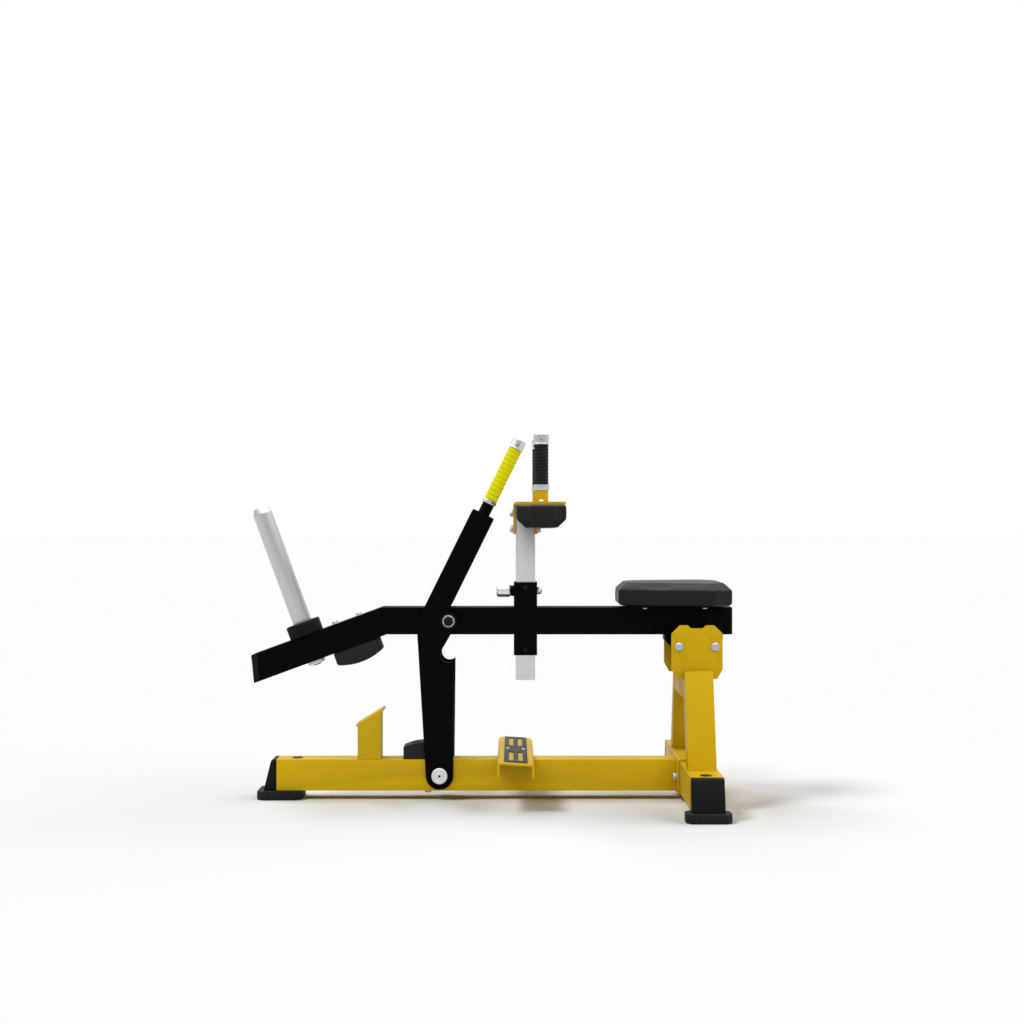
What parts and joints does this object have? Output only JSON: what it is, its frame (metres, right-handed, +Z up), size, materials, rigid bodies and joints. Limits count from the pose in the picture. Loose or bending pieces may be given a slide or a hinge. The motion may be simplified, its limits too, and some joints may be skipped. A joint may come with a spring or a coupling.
{
  "type": "seated calf raise machine",
  "caption": "Plate-loaded seated calf raise machine: floor frame with stand, pivoting lever with seat, weight horn and sliding thigh pad, and a hooked catch arm that holds the lever up.",
  "frame": {"origin": "on the floor, under the centre of the bounding box at rest", "axes": "+X along the machine from the weight horn to the seat, +Y across it to the far side of the pictured view, +Z up"},
  "size_m": [1.24, 0.652, 0.9331],
  "materials": {
    "yellow_paint": "powder coat, satin",
    "black_paint": "powder coat, satin",
    "black_plastic": "moulded, matt",
    "foot_rubber": "moulded, matt",
    "bumper_rubber": "moulded, matt",
    "bolt_steel": "zinc plated",
    "dark_bolt": "blackened",
    "seat_board": "painted black",
    "chrome": "polished",
    "upholstery": "artificial leather with a fine grain",
    "yellow_grip": "ribbed, matt",
    "black_grip": "ribbed, matt"
  },
  "bodies": {
    "frame": {"base_beam": "yellow_paint", "base_front_cap": "black_plastic", "front_foot": "foot_rubber", "saddle_plate": "yellow_paint", "saddle_bolt_near": "bolt_steel", "saddle_bolt_far": "bolt_steel", "cross_member": "yellow_paint", "cross_cap_near": "black_plastic", "cross_cap_far": "black_plastic", "rear_foot_near": "foot_rubber", "rear_foot_far": "foot_rubber", "stand_post_near": "yellow_paint", "stand_post_far": "yellow_paint", "stand_bridge": "yellow_paint", "pivot_plate_near": "yellow_paint", "pivot_plate_far": "yellow_paint", "pivot_bearing_near": "black_paint", "pivot_bearing_far": "black_paint", "stop_post": "yellow_paint", "arm_bumper": "bumper_rubber", "foot_plate": "yellow_paint", "foot_tread": "bumper_rubber", "catch_axle": "chrome"},
    "lever": {"lever_beam": "black_paint", "lever_front_cap": "black_plastic", "lever_rear_cap": "black_plastic", "pivot_lug": "black_paint", "pivot_shaft": "bolt_steel", "upper_sleeve": "black_paint", "lower_sleeve": "black_paint", "weight_horn": "chrome", "horn_collar": "bumper_rubber", "horn_nut": "bolt_steel", "lever_bumper": "bumper_rubber", "seat_bracket": "black_paint", "seat_board": "seat_board", "seat_pad": "upholstery", "catch_bush": "black_paint"},
    "catch_roller": {"catch_roller": "bolt_steel", "catch_bolt": "dark_bolt"},
    "pull_pin": {"pull_knob": "chrome"},
    "catch_arm": {"catch_plate_near": "black_paint", "catch_plate_far": "black_paint", "catch_web": "black_paint", "catch_head": "black_paint", "catch_handle": "black_paint", "catch_grip": "yellow_grip", "catch_grip_cap": "chrome"},
    "pad_slide": {"pad_post": "chrome", "pad_bracket": "yellow_paint", "bracket_bolt_upper": "bolt_steel", "bracket_bolt_lower": "bolt_steel", "thigh_pad_near": "upholstery", "thigh_pad_far": "upholstery", "pad_handle_near": "yellow_paint", "pad_handle_far": "yellow_paint", "pad_grip_near": "black_grip", "pad_grip_far": "black_grip", "pad_grip_cap_near": "chrome", "pad_grip_cap_far": "chrome"}
  },
  "joints": [
    {"name": "lever_pivot", "type": "hinge", "parent": "frame", "child": "lever", "pos_m": [0.52139, 0, 0.398], "axis": [0, 1, 0], "range_deg": [0, 10]},
    {"name": "catch_swing", "type": "hinge", "parent": "frame", "child": "catch_arm", "pos_m": [-0.13311, 0, 0.0625], "axis": [0, 1, 0], "range_deg": [-13, 0]},
    {"name": "pad_height", "type": "slide", "parent": "lever", "child": "pad_slide", "axis": [0, 0, 1], "range_m": [-0.1, 0.075]},
    {"name": "pull_pin_travel", "type": "slide", "parent": "lever", "child": "pull_pin", "axis": [-1, 0, 0], "range_m": [0, 0.01], "stiffness_N_per_m": 1500, "springref_m": -0.002},
    {"name": "catch_roller_spin", "type": "hinge", "parent": "lever", "child": "catch_roller", "pos_m": [-0.10991, 0, 0.4594], "axis": [0, 1, 0], "continuous": true}
  ],
  "couplings": [
    {"joint": "catch_swing", "follows": "lever_pivot", "ratio": -1.3}
  ]
}
